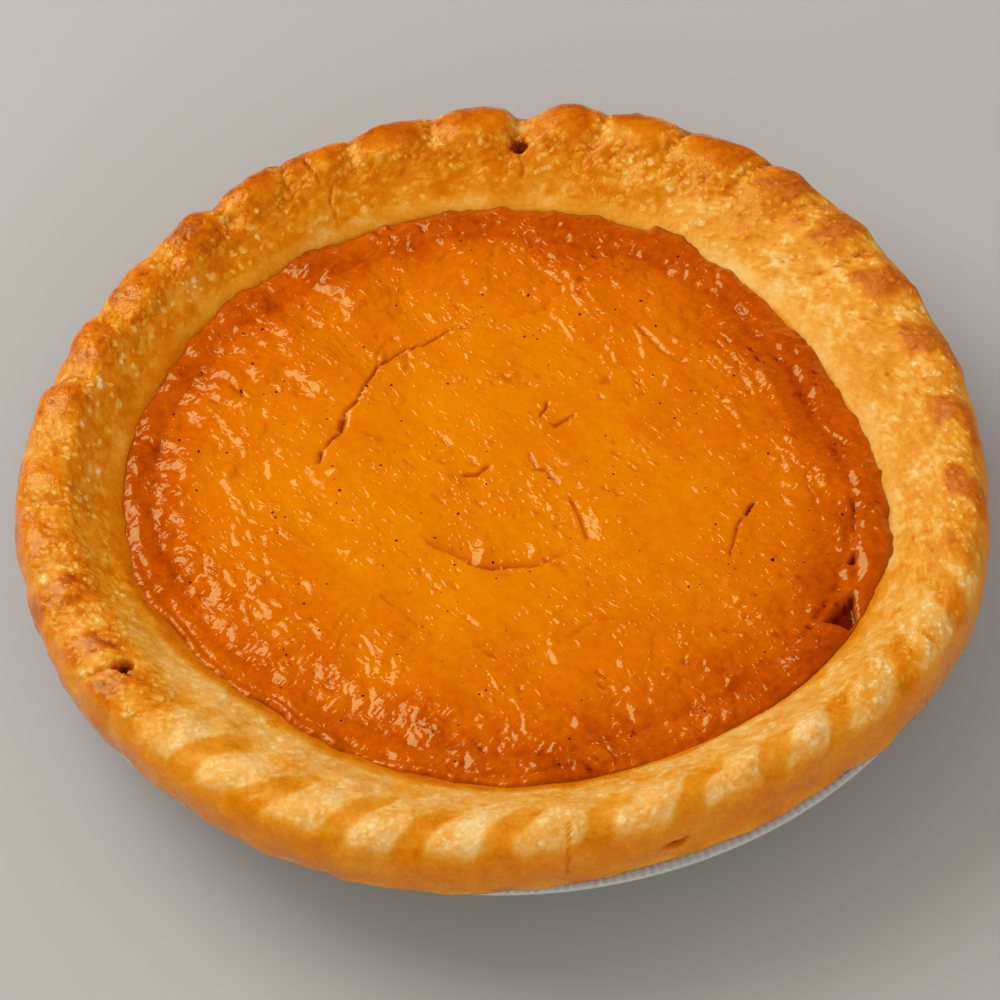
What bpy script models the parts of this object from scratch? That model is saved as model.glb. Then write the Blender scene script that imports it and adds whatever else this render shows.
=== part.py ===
"""Sweet potato pie in its foil tin, in metres, +Z up, standing on z = 0.

Three pieces: a thin foil tin with a pleated side, a flat flange and a rolled rim; a pastry
case that lines the tin and rises over the flange in slanted, hand-pinched flutes; and the
baked filling that stands in the case. Azimuth 0 is along +X and grows towards +Y. The
front of the pie is at -Y.
"""

import math

import bmesh
import bpy
import numpy as np

# Driving dimensions of the tin
TIN_BASE_RADIUS = 0.0800
TIN_SIDE_TOP_RADIUS = 0.1015
TIN_DEPTH = 0.0275
TIN_RIM_RADIUS = 0.1143
TIN_OFF_CENTRE = 0.0006
FOIL_THICKNESS = 0.0006
RIM_ROLL_RADIUS = 0.0015
PLEATS = 48
PLEAT_DEPTH = 0.0005
BASE_CORNER_RADIUS = 0.0025

# Driving dimensions of the pastry
PASTRY_RADIUS = 0.1152
CREST_HEIGHT = 0.0106
BASE_PASTRY = 0.0042
POCKET_BASE_RADIUS = 0.0730
FIT_GAP = 0.0003
FLUTES = 35
FLUTE_DEPTH = 0.0034
FLUTE_SLANT = math.radians(7.5)
STEPS_A_FLUTE = 6

# Driving dimensions of the filling
FILLING_RADIUS = 0.0884
FILLING_LEVEL = 0.0335
FILLING_RINGS = 15
CENTRE_DIP = 0.0016
CENTRE_DIP_RADIUS = 0.0240
EDGE_SWELL = 0.0009

# How far the pinched edge, the filling and the crests' height are uneven round the pie:
# waves in a turn, the azimuth of a high place in degrees, and the size in metres
EDGE_WAVES = ((2, 58.0, 0.0033), (3, 325.0, 0.0012), (4, 342.0, 0.0009), (5, 336.0, 0.0007))
FILLING_WAVES = ((2, 323.0, 0.0018), (3, 318.0, 0.0011), (4, 352.0, 0.0009), (5, 339.0, 0.0007))
CREST_WAVES = ((1, 250.0, 0.0010), (3, 60.0, 0.0003))

# How unevenly the flutes were pinched: waves in a turn, lead in degrees, and how far the
# crests wander from an even spacing, in degrees
FLUTE_WAVES = ((1, 138.0, 4.7), (2, 53.0, 3.2), (3, 95.0, 1.3), (4, -23.0, 0.7), (5, -122.0, 0.5))
FIRST_CREST = math.radians(-0.4)

# The edge's section from the filling outwards: how far out it is, from 0 at the filling to
# 1 at the widest point, how high above the filling in parts of the crest's height, how much
# of the flutes' depth it takes, and how much of their slant
EDGE_SECTION = (
    (0.00, 0.00, 0.00, 0.90),
    (0.09, 0.17, 0.02, 0.85),
    (0.22, 0.38, 0.08, 0.75),
    (0.36, 0.59, 0.25, 0.62),
    (0.50, 0.78, 0.60, 0.48),
    (0.63, 0.93, 1.00, 0.35),
    (0.75, 1.00, 1.00, 0.24),
    (0.86, 0.94, 0.85, 0.14),
    (0.95, 0.72, 0.50, 0.06),
    (1.00, 0.30, 0.25, 0.00),
    (0.99, -0.10, 0.10, 0.00),
    (0.94, -0.35, 0.00, 0.00),
)

# Splits and hollows in the edge: azimuth, half width along the edge, depth, and where along
# the section each one starts, is deepest and ends
EDGE_MARKS = (
    (math.radians(89.0), 0.0042, 0.0052, 0.45, 0.85, 1.02),
    (math.radians(213.8), 0.0045, 0.0034, 0.35, 0.66, 0.88),
    (math.radians(38.5), 0.0030, 0.0018, 0.35, 0.80, 1.02),
    (math.radians(277.5), 0.0030, 0.0016, 0.60, 0.90, 1.02),
)

# The deep split at the right of the filling: place, length towards +Y, width and depth
SPLIT_PLACE = (0.0800, -0.0290)
SPLIT_HALF_LENGTH = 0.0120
SPLIT_HALF_WIDTH = 0.0040
SPLIT_DEPTH = 0.0042

FOIL_COLOUR = (0.62, 0.62, 0.61, 1.0)
PASTRY_COLOUR = (0.66, 0.33, 0.085, 1.0)
FILLING_COLOUR = (0.62, 0.20, 0.012, 1.0)


def clear_scene():
    """Remove every object that the scene starts with."""
    for thing in list(bpy.data.objects):
        bpy.data.objects.remove(thing, do_unlink=True)


def make_collection(name):
    collection = bpy.data.collections.new(name)
    bpy.context.scene.collection.children.link(collection)
    return collection


def make_material(name, colour, roughness, metallic):
    material = bpy.data.materials.new(name)
    material.use_nodes = True
    shader = material.node_tree.nodes["Principled BSDF"]
    shader.inputs["Base Color"].default_value = colour
    shader.inputs["Roughness"].default_value = roughness
    shader.inputs["Metallic"].default_value = metallic
    return material


def waves(angle, rows):
    """The sum of the cosine waves in rows, each with its high place at the given azimuth."""
    total = np.zeros_like(angle)
    for count, high_place, size in rows:
        total += size * np.cos(count * (angle - math.radians(high_place)))
    return total


def edge_radius(angle):
    return PASTRY_RADIUS + waves(angle, EDGE_WAVES)


def filling_radius(angle):
    return FILLING_RADIUS + waves(angle, FILLING_WAVES)


def crest_height(angle):
    return CREST_HEIGHT + waves(angle, CREST_WAVES)


def flute_angle(count):
    """Azimuth of the crest numbered count, where a half number is the valley between two."""
    even = math.tau * count / FLUTES
    angle = FIRST_CREST + even
    for turns, lead, size in FLUTE_WAVES:
        angle = angle + math.radians(size) * np.cos(turns * even - math.radians(lead))
    return angle


def flute_form(count):
    """Height of a flute from -1 in the crease to 1 on the crest: a broad lobe, a sharp crease."""
    from_crest = np.abs(count - np.round(count)) * 2
    return 1 - 2 * from_crest**1.7


def edge_mark(angle, radius, out):
    """Depth of the splits and hollows at a place in the edge's section."""
    depth = np.zeros_like(angle)
    for place, half_width, size, start, deepest, end in EDGE_MARKS:
        turned = (angle - place + math.pi) % math.tau - math.pi
        across = np.clip(1 - np.abs(turned) * radius / half_width, 0, 1)
        inwards = np.clip((out - start) / (deepest - start), 0, 1)
        outwards = np.clip((end - out) / (end - deepest), 0, 1)
        depth += size * across * np.minimum(inwards, outwards)
    return depth


def edge_ring(out, up, fluted, slant, count):
    """One ring of points round the pinched edge, at one place of its section."""
    angle = flute_angle(count) + slant * FLUTE_SLANT
    inner = filling_radius(angle)
    widest = edge_radius(angle)
    radius = inner + (widest - inner) * out
    relief = FLUTE_DEPTH / 2 * fluted * flute_form(count)
    marks = edge_mark(angle, radius, out) * (up > 0)
    outwards = np.clip((out - 0.6) / 0.4, 0, 1)
    radius += relief * outwards - marks * outwards * 0.5
    lift = crest_height(angle) if up > 0 else CREST_HEIGHT
    height = FILLING_LEVEL + lift * up + relief * (1 - outwards * 0.6) - marks
    return angle, radius, height


def plain_ring(radius, height, count):
    angle = flute_angle(count)
    return angle, np.full_like(angle, radius), np.full_like(angle, height)


def loft(name, rings, bottom, top, collection, material):
    """Close rings of equal point count, given as (angle, radius, height), into one body.

    The rings run from the middle of the underside outwards and over to the middle of the
    upper side, and bottom and top are the heights of the two middle points.
    """
    mesh_maker = bmesh.new()
    rows = []
    for angle, radius, height in rings:
        places = zip(radius * np.cos(angle), radius * np.sin(angle), height)
        rows.append([mesh_maker.verts.new(place) for place in places])
    first = mesh_maker.verts.new((0.0, 0.0, bottom))
    last = mesh_maker.verts.new((0.0, 0.0, top))
    size = len(rows[0])
    for side in range(size):
        after = (side + 1) % size
        mesh_maker.faces.new((first, rows[0][after], rows[0][side]))
        mesh_maker.faces.new((last, rows[-1][side], rows[-1][after]))
        for lower, upper in zip(rows, rows[1:]):
            mesh_maker.faces.new((lower[side], lower[after], upper[after], upper[side]))
    mesh = bpy.data.meshes.new(name)
    bmesh.ops.recalc_face_normals(mesh_maker, faces=mesh_maker.faces)
    mesh_maker.to_mesh(mesh)
    mesh_maker.free()
    mesh.shade_smooth()
    mesh.set_sharp_from_angle(angle=math.radians(50))
    thing = bpy.data.objects.new(name, mesh)
    thing.data.materials.append(material)
    collection.objects.link(thing)
    return thing


def tin_side_radius(height):
    """Radius of the tin's outer face at a height of its sloping side."""
    return TIN_BASE_RADIUS + (TIN_SIDE_TOP_RADIUS - TIN_BASE_RADIUS) * height / TIN_DEPTH


def pleated_ring(radius, height, pleated):
    angle = math.tau * np.arange(2 * PLEATS) / (2 * PLEATS)
    fold = np.where(np.arange(2 * PLEATS) % 2, -1.0, 1.0) * PLEAT_DEPTH * pleated
    return angle, radius + fold, np.full_like(angle, height)



def make_tin(collection):
    """Flat base, rounded corner, pleated sloping side, flat flange and a rolled rim."""
    corner = BASE_CORNER_RADIUS
    roll_middle = TIN_RIM_RADIUS - RIM_ROLL_RADIUS
    outside = [
        pleated_ring(TIN_BASE_RADIUS - corner, 0.0, 0.0),
        pleated_ring(TIN_BASE_RADIUS - corner * 0.2, corner * 0.3, 0.0),
        pleated_ring(tin_side_radius(corner), corner, 0.5),
        pleated_ring(tin_side_radius(TIN_DEPTH / 2), TIN_DEPTH / 2, 1.0),
        pleated_ring(tin_side_radius(TIN_DEPTH) - 0.0010, TIN_DEPTH - 0.0012, 0.6),
        pleated_ring(TIN_SIDE_TOP_RADIUS + 0.0010, TIN_DEPTH, 0.0),
    ]
    # The roll hangs below the flange and turns from its underside round to the flange's top
    roll = []
    for turn in np.radians((200.0, 250.0, 300.0, 345.0, 30.0, 75.0)):
        reach = roll_middle + RIM_ROLL_RADIUS * math.cos(turn)
        level = TIN_DEPTH + FOIL_THICKNESS - RIM_ROLL_RADIUS * (1 - math.sin(turn))
        roll.append(pleated_ring(reach, level, 0.0))
    top = FOIL_THICKNESS
    inside = [
        pleated_ring(TIN_SIDE_TOP_RADIUS + 0.0007, TIN_DEPTH + top, 0.0),
        pleated_ring(tin_side_radius(TIN_DEPTH) - 0.0016, TIN_DEPTH - 0.0008, 0.6),
        pleated_ring(tin_side_radius(TIN_DEPTH / 2) - top * 1.3, TIN_DEPTH / 2, 1.0),
        pleated_ring(tin_side_radius(corner) - top * 1.3, corner + top * 0.5, 0.5),
        pleated_ring(TIN_BASE_RADIUS - corner - top * 0.5, top, 0.0),
    ]
    foil = make_material("foil", FOIL_COLOUR, 0.35, 1.0)
    tin = loft("foil_tin", outside + roll + inside, 0.0, FOIL_THICKNESS, collection, foil)
    # The pastry was laid a little off the tin's middle
    tin.location.x = -TIN_OFF_CENTRE
    return tin


def pastry_counts():
    return np.arange(FLUTES * STEPS_A_FLUTE) / STEPS_A_FLUTE


def make_crust(collection):
    """Case that lines the tin, lies on its flange and stands up in flutes round the filling."""
    count = pastry_counts()
    inset = FOIL_THICKNESS * 1.3 + PLEAT_DEPTH + FIT_GAP + TIN_OFF_CENTRE
    floor = FOIL_THICKNESS + FIT_GAP
    low = BASE_CORNER_RADIUS + FOIL_THICKNESS
    flange_top = TIN_DEPTH + FOIL_THICKNESS + FIT_GAP
    outside = [
        plain_ring(TIN_BASE_RADIUS * 0.94, floor, count),
        plain_ring(tin_side_radius(low) - inset, low + 0.0008, count),
        plain_ring(tin_side_radius(TIN_DEPTH) - inset - 0.0014, TIN_DEPTH - 0.0012, count),
        plain_ring(TIN_SIDE_TOP_RADIUS - 0.0008, flange_top, count),
    ]
    edge = [edge_ring(*place, count) for place in reversed(EDGE_SECTION)]
    pocket = plain_ring(POCKET_BASE_RADIUS, FOIL_THICKNESS + FIT_GAP + BASE_PASTRY, count)
    pastry = make_material("pastry", PASTRY_COLOUR, 0.5, 0.0)
    top = FOIL_THICKNESS + FIT_GAP + BASE_PASTRY
    return loft("crust", outside + edge + [pocket], floor, top, collection, pastry)


def filling_height(across, along, share):
    """Level of the filling's top at a place, where share is 0 in the middle and 1 at the edge."""
    distance = np.hypot(across, along)
    dip = CENTRE_DIP * np.exp(-((distance / CENTRE_DIP_RADIUS) ** 4))
    swell = EDGE_SWELL * np.sin(math.pi * np.clip((share - 0.70) / 0.30, 0, 1))
    swirl = 0.0005 * np.sin(math.tau * (distance / 0.0140 - np.arctan2(along, across) / math.tau))
    swirl *= np.clip(share * 4, 0, 1) * np.clip((1 - share) * 5, 0, 1)
    right, up = SPLIT_PLACE
    split_along = (along - up) / SPLIT_HALF_LENGTH
    split_across = (across - right) / SPLIT_HALF_WIDTH
    split = SPLIT_DEPTH * np.clip(1 - np.hypot(split_along, split_across), 0, 1)
    return FILLING_LEVEL - dip + swell + swirl - split


def make_filling(collection):
    """Filling from the case's floor up to a gently dished top with swirls and a deep split."""
    count = pastry_counts()[::2]
    slant = EDGE_SECTION[0][3] * FLUTE_SLANT
    angle = flute_angle(count) + slant
    floor = FOIL_THICKNESS + FIT_GAP + BASE_PASTRY + FIT_GAP
    wall_run = FILLING_RADIUS - POCKET_BASE_RADIUS
    lean = FIT_GAP * math.hypot(wall_run, FILLING_LEVEL) / FILLING_LEVEL + 0.0003
    low_radius = np.full_like(angle, POCKET_BASE_RADIUS - lean)
    edge = filling_radius(angle) - lean
    rings = [
        (flute_angle(count), low_radius * 0.6, np.full_like(angle, floor)),
        (flute_angle(count), low_radius, np.full_like(angle, floor)),
    ]
    for share in np.linspace(1, 0, FILLING_RINGS, endpoint=False):
        radius = edge * share
        height = filling_height(radius * np.cos(angle), radius * np.sin(angle), share)
        rings.append((angle, radius, height))
    middle = float(filling_height(np.array(0.0), np.array(0.0), 0.0))
    custard = make_material("custard", FILLING_COLOUR, 0.25, 0.0)
    return loft("filling", rings, floor, middle, collection, custard)


clear_scene()
pie = make_collection("sweet_potato_pie")
make_tin(pie)
make_crust(pie)
make_filling(pie)
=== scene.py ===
import math

import bpy
import numpy as np
from mathutils import Matrix, Vector


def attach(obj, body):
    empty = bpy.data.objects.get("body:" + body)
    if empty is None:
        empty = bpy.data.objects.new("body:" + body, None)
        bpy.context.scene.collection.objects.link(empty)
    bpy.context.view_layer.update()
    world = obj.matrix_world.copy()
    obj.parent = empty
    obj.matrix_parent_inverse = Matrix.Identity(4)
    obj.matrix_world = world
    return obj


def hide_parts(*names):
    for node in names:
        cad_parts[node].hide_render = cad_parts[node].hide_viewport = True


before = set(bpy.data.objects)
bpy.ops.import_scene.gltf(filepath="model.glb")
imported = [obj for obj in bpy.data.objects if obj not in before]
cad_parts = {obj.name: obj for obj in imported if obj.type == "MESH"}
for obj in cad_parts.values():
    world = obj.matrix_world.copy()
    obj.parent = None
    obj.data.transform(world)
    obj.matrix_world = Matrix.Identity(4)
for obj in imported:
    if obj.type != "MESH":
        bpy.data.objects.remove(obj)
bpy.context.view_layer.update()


# The foil tin. It is pressed from one sheet of aluminium foil: a flat base, a sloping side
# that takes up the spare foil in pleats, a flat flange, and a rim rolled under and nipped
# into fine ribs. The pastry lies on the flange, so the rim shows only where it stands out.
TIN_BASE_RADIUS = 0.0800
TIN_SIDE_TOP_RADIUS = 0.1015
TIN_DEPTH = 0.0275
TIN_RIM_RADIUS = 0.1143
TIN_OFF_CENTRE = 0.0011
FOIL_THICKNESS = 0.0006
RIM_ROLL_RADIUS = 0.0015
BASE_CORNER_RADIUS = 0.0025
SIDE_GAP = 0.0002
PLEATS = 48
PLEAT_DEPTH = 0.0005
PLEAT_FADE = 0.0025
RIM_RIBS = 320
RIB_DEPTH = 0.00050
TIN_COLUMNS = 5 * RIM_RIBS
RIM_BENDS = (200.0, 230.0, 255.0, 280.0, 305.0, 330.0, 355.0, 15.0, 35.0, 55.0, 75.0)


def at_radius(radius, angle, height):
    """Points at a radius and an azimuth round the axis, and at a height."""
    places = np.broadcast_arrays(radius * np.cos(angle), radius * np.sin(angle), height)
    return np.stack(places, axis=-1)


def smooth_mesh(name, points, *faces):
    """A smooth-shaded mesh from its points and arrays of faces."""
    mesh = bpy.data.meshes.new(name)
    mesh.from_pydata(points.tolist(), [], sum((part.tolist() for part in faces), []))
    mesh.shade_smooth()
    return mesh


def wrapped_mesh(name, rows, start, end):
    """A closed surface from rows of points round an axis.

    Each point meets its neighbours in quads, the last column joins the first, and the
    first and last rows close on the axis at the heights start and end.
    """
    count, size = rows.shape[:2]
    grid = np.arange(count * size).reshape(count, size)
    after = np.roll(grid, -1, axis=1)
    quads = np.stack([grid[:-1], after[:-1], after[1:], grid[1:]], axis=-1).reshape(-1, 4)
    low = np.stack([np.full(size, count * size), after[0], grid[0]], axis=-1)
    high = np.stack([np.full(size, count * size + 1), grid[-1], after[-1]], axis=-1)
    points = np.concatenate([rows.reshape(-1, 3), [(0.0, 0.0, start), (0.0, 0.0, end)]])
    return smooth_mesh(name, points, quads, low, high)


def add_object(name, data):
    """An object for a mesh, a light or a camera, in the scene."""
    made = bpy.data.objects.new(name, data)
    bpy.context.scene.collection.objects.link(made)
    return made


def add_node(tree, kind, inputs=None, **settings):
    """Adds a node with its settings, and sets or links each named or numbered input."""
    made = tree.nodes.new(kind)
    for name, value in settings.items():
        setattr(made, name, value)
    for name, value in (inputs or {}).items():
        if isinstance(value, bpy.types.NodeSocket):
            tree.links.new(value, made.inputs[name])
        else:
            made.inputs[name].default_value = value
    return made


def add_noise(tree, place, scale, detail=2.0, roughness=0.5):
    """The value of a noise at a place, from 0 to 1."""
    inputs = {"Vector": place, "Scale": scale, "Detail": detail, "Roughness": roughness}
    return add_node(tree, "ShaderNodeTexNoise", inputs).outputs["Fac"]


def add_range(tree, value, low, high, to_low=0.0, to_high=1.0, **settings):
    """A value carried over so that low gives to_low and high gives to_high, and held there."""
    inputs = {"Value": value, "From Min": low, "From Max": high, "To Min": to_low, "To Max": to_high}
    return add_node(tree, "ShaderNodeMapRange", inputs, **settings).outputs["Result"]


def add_bump(tree, shader, height, strength, distance):
    """Tilts the shader's normal as a relief of this height would."""
    inputs = {"Height": height, "Strength": strength, "Distance": distance}
    normal = add_node(tree, "ShaderNodeBump", inputs).outputs["Normal"]
    tree.links.new(normal, shader.inputs["Normal"])


def new_material(name, **values):
    """A material with its Principled BSDF, whose plain values are set on its own sockets."""
    material = bpy.data.materials.new(name)
    material.use_nodes = True
    shader = material.node_tree.nodes["Principled BSDF"]
    for socket, value in values.items():
        shader.inputs[socket.replace("_", " ")].default_value = value
    return material, material.node_tree, shader


def side_radius(height):
    """Radius of the tin's side, a straight slope from the base up to the flange."""
    return TIN_BASE_RADIUS + (TIN_SIDE_TOP_RADIUS - TIN_BASE_RADIUS) * height / TIN_DEPTH


def side_rows(start, end, count, inset, lift):
    """Rows on the tin's side: radius, height, share of the pleats and share of the ribs.

    The pleats start at the base with half their depth and fade out under the flange.
    """
    rows = []
    for height in np.linspace(start, end, count):
        pleated = min(1.0, 0.5 + height / TIN_DEPTH, (TIN_DEPTH - height) / PLEAT_FADE)
        rows.append((side_radius(height) - inset, height + lift, pleated, 0.0))
    return rows


def tin_rows():
    """The tin's section carried round its axis, from the base's underside to its upper side.

    The pleats are a triangle wave round the side, the ribs a cosine on the rolled rim.
    """
    turn = math.tau * np.arange(TIN_COLUMNS) / TIN_COLUMNS
    corner = BASE_CORNER_RADIUS
    side_end = TIN_DEPTH - 0.0012
    top = TIN_DEPTH + FOIL_THICKNESS
    middle = TIN_RIM_RADIUS - RIM_ROLL_RADIUS
    section = [(r, 0.0, 0.0, 0.0) for r in np.linspace(0.012, TIN_BASE_RADIUS - corner, 4)]
    for bend in np.radians((25.0, 50.0, 75.0)):
        out = TIN_BASE_RADIUS - corner + corner * math.sin(bend)
        section.append((out, corner * (1 - math.cos(bend)) * 0.9, 0.2, 0.0))
    section += side_rows(corner, side_end, count=8, inset=SIDE_GAP, lift=0.0)
    section.append((TIN_SIDE_TOP_RADIUS + 0.0010, TIN_DEPTH, 0.1, 0.0))
    section.append((TIN_RIM_RADIUS - 2.4 * RIM_ROLL_RADIUS, TIN_DEPTH, 0.0, 0.0))
    for bend in np.radians(RIM_BENDS):
        out = middle + RIM_ROLL_RADIUS * math.cos(bend)
        level = top - RIM_ROLL_RADIUS * (1 - math.sin(bend))
        section.append((out, level, 0.0, max(0.0, math.sin(bend + 0.35))))
    section.append((middle - 0.0008, top, 0.0, 1.0))
    section.append((middle - 0.0022, top, 0.0, 0.6))
    section.append((TIN_SIDE_TOP_RADIUS + 0.0007, top, 0.0, 0.0))
    inside = SIDE_GAP + FOIL_THICKNESS * 1.3
    section += side_rows(side_end, corner, count=6, inset=inside, lift=0.0003)
    section.append((TIN_BASE_RADIUS - corner - FOIL_THICKNESS * 0.5, FOIL_THICKNESS, 0.0, 0.0))
    out, level, pleated, ribbed = (np.array(part)[:, None] for part in zip(*section))
    fold = 2 * np.abs(2 * (turn * PLEATS / math.tau % 1) - 1) - 1
    pressed = np.random.default_rng(5).uniform(0.35, 1.25, RIM_RIBS).repeat(TIN_COLUMNS // RIM_RIBS)
    ribs = -np.cos(turn * RIM_RIBS) * RIB_DEPTH * pressed
    radius = out + fold * PLEAT_DEPTH * pleated
    return at_radius(radius, turn, level + ribs * ribbed - 0.8 * RIB_DEPTH * ribbed)


def foil_material():
    """Bright foil: one noise dulls it in patches, and a finer one crinkles it."""
    material, tree, shader = new_material(
        "rolled_foil", Base_Color=(0.65, 0.635, 0.61, 1.0), Metallic=0.45, Roughness=0.40
    )
    place = add_node(tree, "ShaderNodeTexCoord").outputs["Object"]
    patches = add_noise(tree, place, scale=240.0, detail=3.0)
    dull = add_range(tree, patches, 0.0, 1.0, to_low=0.30, to_high=0.52)
    tree.links.new(dull, shader.inputs["Roughness"])
    crinkle = add_noise(tree, place, scale=420.0)
    add_bump(tree, shader, crinkle, strength=0.5, distance=0.0002)
    return material


tin_mesh = wrapped_mesh("foil_tin_bright", tin_rows(), 0.0, FOIL_THICKNESS)
tin_mesh.transform(Matrix.Translation((-TIN_OFF_CENTRE, 0.0, 0.0)))
tin = add_object("foil_tin_bright", tin_mesh)
tin.data.materials.append(foil_material())
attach(tin, "root")
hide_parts("foil_tin")


# The crust. It is one sheet of rolled pastry that lines the tin, with its edge folded up on
# the flange and pinched by hand into slanted flutes. It baked golden brown on the lobes,
# pale and flaky down the inner wall, and it split and blistered here and there.
PASTRY_RADIUS = 0.1152
CREST_HEIGHT = 0.0106
BASE_PASTRY = 0.0042
POCKET_BASE_RADIUS = 0.0730
FIT_GAP = 0.0003
CRUST_FLOOR = FOIL_THICKNESS + FIT_GAP
FLUTE_DEPTH = 0.0034
FLUTE_SLANT = math.radians(7.5)
CREST_SLANT_SHARE = 0.24
COLUMNS_A_FLUTE = 32
EDGE_ROWS = 76
EDGE_WIDTH = 0.027
FOOT_DROP = 0.0010
SHOWN_RIM = 0.0012
FILLING_RADIUS = 0.0884
FILLING_LEVEL = 0.0335
EDGE_WAVES = ((2, 58.0, 0.0033), (3, 325.0, 0.0012), (4, 342.0, 0.0009), (5, 336.0, 0.0007))
FILLING_WAVES = ((2, 323.0, 0.0018), (3, 318.0, 0.0011), (4, 352.0, 0.0009), (5, 339.0, 0.0007))
CREST_WAVES = ((1, 250.0, 0.0010), (3, 60.0, 0.0003))

# Stretches where the edge hangs further out or less far: azimuth, half, fade, by how much
OVERHANGS = ((330.0, 8.0, 16.0, 0.0018), (50.0, 14.0, 20.0, -0.0010), (152.0, 16.0, 14.0, 0.0008))
CREST_AZIMUTHS = (
    -5.0, 7.2, 19.0, 31.6, 42.3, 51.8, 61.6, 71.6, 82.3, 93.8, 104.5, 114.5,
    125.0, 134.6, 146.9, 158.2, 169.3, 180.8, 190.4, 200.4, 209.2, 217.8, 226.4, 236.1,
    246.1, 255.8, 264.9, 275.6, 287.8, 299.6, 309.4, 318.8, 330.8, 343.6,
)
FLUTES = len(CREST_AZIMUTHS)

# The edge's section from the filling outwards: how far out, how high, the share of the slant
EDGE_SECTION = (
    (0.00, 0.00, 0.90),
    (0.09, 0.17, 0.85),
    (0.22, 0.38, 0.75),
    (0.36, 0.59, 0.62),
    (0.50, 0.78, 0.48),
    (0.63, 0.93, 0.35),
    (0.75, 1.00, 0.24),
    (0.86, 0.94, 0.14),
    (0.95, 0.72, 0.06),
    (1.00, 0.30, 0.00),
    (0.99, -0.12, 0.00),
    (0.96, -0.44, 0.00),
)

# Stretches of the edge: azimuth of the middle in degrees, half the stretch, its fade
FRONT = (284.0, 54.0, 14.0)
RIGHT = (16.0, 30.0, 16.0)
BACK = (92.0, 36.0, 18.0)
LEFT = (165.0, 34.0, 12.0)
MOST_SLANTED = (320.0, 75.0, 40.0)
LOW_FOOT = (-8.0, 32.0, 14.0)
SHOWN_FOIL = (298.0, 34.0, 12.0)
DULL_TOPS = ((210.0, 12.0, 8.0), (333.0, 14.0, 8.0))
PALE_WALL = (46.0, 12.0, 10.0)
HIGH_STAIN = (240.0, 40.0, 30.0)
FAINT_STAIN = (20.0, 30.0, 15.0)

# Where the crest lies further in: azimuth, half, fade, and how far it rises inside and
# sinks outside
INNER_CREST = (176.0, 28.0, 20.0, 0.0013, 0.0016)

# Where the knobs lean over to the next one: azimuth, half, fade, and by how much
LEANING_KNOBS = (148.0, 24.0, 14.0, 0.0012)

# Holes: azimuth in degrees, radius, half width round the edge, half width across it, depth,
# and how ragged the rim is. The hole at the foot: azimuth, how high up the edge, half width,
# half height as a share of the crest's, depth
HOLES = (
    (87.4, 0.1036, 0.0021, 0.0032, 0.0036, 0.35),
    (214.8, 0.1068, 0.0025, 0.0029, 0.0038, 0.55),
)
FOOT_HOLE = (289.4, 0.04, 0.0034, 0.15, 0.0026)
NOTCH = (87.6, 0.0030)

# Where a film of custard climbed the wall: azimuth, half, fade, and how high
FILM = (238.0, 34.0, 14.0, 0.0023)

# Cracks: half width, depth, and the line as pairs of radius and azimuth in degrees
CRUST_CRACKS = (
    (0.00030, 0.0004, ((0.0960, 86.9), (0.0985, 87.0), (0.1000, 87.5), (0.1020, 87.4))),
    (0.00034, 0.0007, ((0.0910, 115.9), (0.0945, 115.6), (0.0965, 115.7), (0.1000, 114.4))),
    (0.00036, 0.0005, ((0.1020, 115.9), (0.1090, 116.4))),
    (0.00040, 0.0009, ((0.0965, 39.2), (0.0995, 38.2), (0.1025, 37.2), (0.1100, 36.8))),
    (0.00042, 0.0009, ((0.1085, 213.8), (0.1110, 213.3), (0.1150, 212.7))),
    (0.00040, 0.0005, ((0.1085, 277.0), (0.1120, 276.7), (0.1160, 276.3))),
    (0.00040, 0.0004, ((0.1080, 330.4), (0.1130, 330.0))),
)

# What the material reads at each point, and its value where the crust is hidden
CRUST_FINISH = {"toast_and_shade": 0.45, "rough": 0.0, "flaky": 0.0, "matte": 0.0}


def scatter(cell, seed):
    """A random number from 0 to 1 for each whole-numbered cell of space.

    The cell's three numbers and the seed are multiplied by large numbers, and their bits
    are mixed by shifts and products. The last 32 bits, as a share of all, are the number.
    """
    cell = cell.astype(np.int64)
    mixed = cell[..., 0] * 73856093 ^ cell[..., 1] * 19349663 ^ cell[..., 2] * 83492791
    mixed = (mixed ^ seed * 2654435761) & 0xFFFFFFFF
    mixed = (mixed ^ mixed >> 15) * 2246822519 & 0xFFFFFFFF
    mixed = (mixed ^ mixed >> 13) * 3266489917 & 0xFFFFFFFF
    return (mixed ^ mixed >> 16) / 4294967295


def lumps(places, size, seed):
    """Smooth random hills of about the given size, from -1 to 1.

    Space is cut into cubes of that size. Each cube corner has a random value, and a place
    takes the eased blend of the eight corners round it.
    """
    scaled = places / size
    base = np.floor(scaled)
    ease = scaled - base
    ease = ease**3 * (ease * (ease * 6 - 15) + 10)
    total = np.zeros(places.shape[:-1])
    for corner in range(8):
        step = np.array([corner & 1, corner >> 1 & 1, corner >> 2 & 1])
        share = np.prod(np.where(step, ease, 1 - ease), axis=-1)
        total += (2 * scatter(base + step, seed) - 1) * share
    return total


def rise(value, low, high):
    """0 below low, 1 above high, and an eased S between them."""
    share = np.clip((value - low) / (high - low), 0, 1)
    return share * share * (3 - 2 * share)


def waves(angle, rows):
    """The sum of cosines round the pie, each with its high place at the given azimuth."""
    total = np.zeros_like(angle)
    for count, high_place, size in rows:
        total = total + size * np.cos(count * (angle - math.radians(high_place)))
    return total


def filling_radius(angle):
    """Radius of the line where the custard meets the crust, a wavy circle."""
    return FILLING_RADIUS + waves(angle, FILLING_WAVES)


def flute_angle(count):
    """Azimuth of the crest numbered count, evenly blended from one crest to the next."""
    azimuths = np.append(CREST_AZIMUTHS, CREST_AZIMUTHS[0] + 360.0)
    return np.radians(np.interp(count, np.arange(FLUTES + 1), azimuths))


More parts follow.
